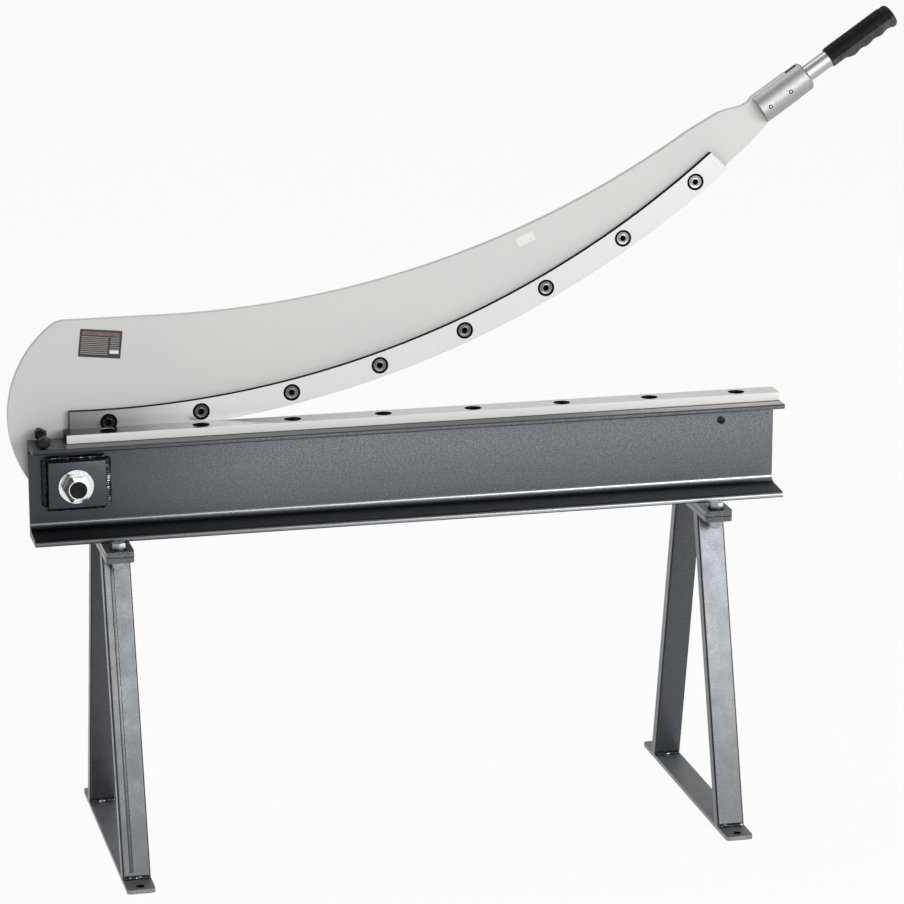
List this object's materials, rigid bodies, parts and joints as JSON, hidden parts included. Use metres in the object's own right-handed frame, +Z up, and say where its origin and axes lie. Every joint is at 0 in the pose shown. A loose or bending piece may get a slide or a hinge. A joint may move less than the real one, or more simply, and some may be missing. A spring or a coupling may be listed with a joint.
{
  "type": "manual guillotine shear",
  "caption": "Hand lever shear for sheet metal: a channel beam on two leg stands holds a straight lower blade, and a long curved arm with a matching upper blade swings down past it.",
  "frame": {"origin": "on the floor, under the middle of the whole machine with its arm raised", "axes": "+X along the beam from the pivot to the handle, +Y from the front to the back, +Z up"},
  "size_m": [1.304, 0.427, 1.1652],
  "materials": {
    "beam_paint": "hammered, satin",
    "stand_paint": "smooth, semi-gloss",
    "arm_paint": "smooth, satin",
    "blade_steel": "ground",
    "black_steel": "black oxide",
    "zinc": "bright zinc plate",
    "dark_zinc": "dull plate",
    "turned_steel": "turned, satin",
    "weld_metal": "painted bead",
    "bronze": "machined",
    "grip_rubber": "moulded, matte",
    "nameplate_face": "dark printed foil",
    "label_face": "pale foil"
  },
  "bodies": {
    "frame": {"beam": "beam_paint", "pivot_block": "beam_paint", "pivot_block_weld": "beam_paint", "pivot_spacer": "turned_steel", "pivot_bolt": "black_steel", "pivot_washers": "zinc", "pivot_nut": "zinc", "lower_blade": "blade_steel", "lower_blade_screws": "black_steel", "web_screw": "black_steel", "left_pad_plate": "stand_paint", "left_top_plate": "stand_paint", "left_front_leg": "stand_paint", "left_back_leg": "stand_paint", "left_foot": "stand_paint", "left_stand_welds": "weld_metal", "left_stand_bolts": "zinc", "left_stand_washers": "zinc", "left_stand_nuts": "zinc", "right_pad_plate": "stand_paint", "right_top_plate": "stand_paint", "right_front_leg": "stand_paint", "right_back_leg": "stand_paint", "right_foot": "stand_paint", "right_stand_welds": "weld_metal", "right_stand_bolts": "zinc", "right_stand_washers": "zinc", "right_stand_nuts": "zinc"},
    "arm": {"arm_plate": "arm_paint", "pivot_bush": "bronze", "upper_blade": "blade_steel", "upper_blade_screws": "black_steel", "upper_blade_nuts": "zinc", "handle_socket": "turned_steel", "socket_pins": "black_steel", "handle_rod": "turned_steel", "handle_grip": "grip_rubber", "stop_bolt": "dark_zinc", "stop_nuts": "dark_zinc", "nameplate": "nameplate_face", "small_label": "label_face"}
  },
  "joints": [
    {"name": "arm_pivot", "type": "hinge", "parent": "frame", "child": "arm", "pos_m": [-0.56377, 0.037, 0.537], "axis": [0, 1, 0], "range_deg": [0, 20]}
  ]
}
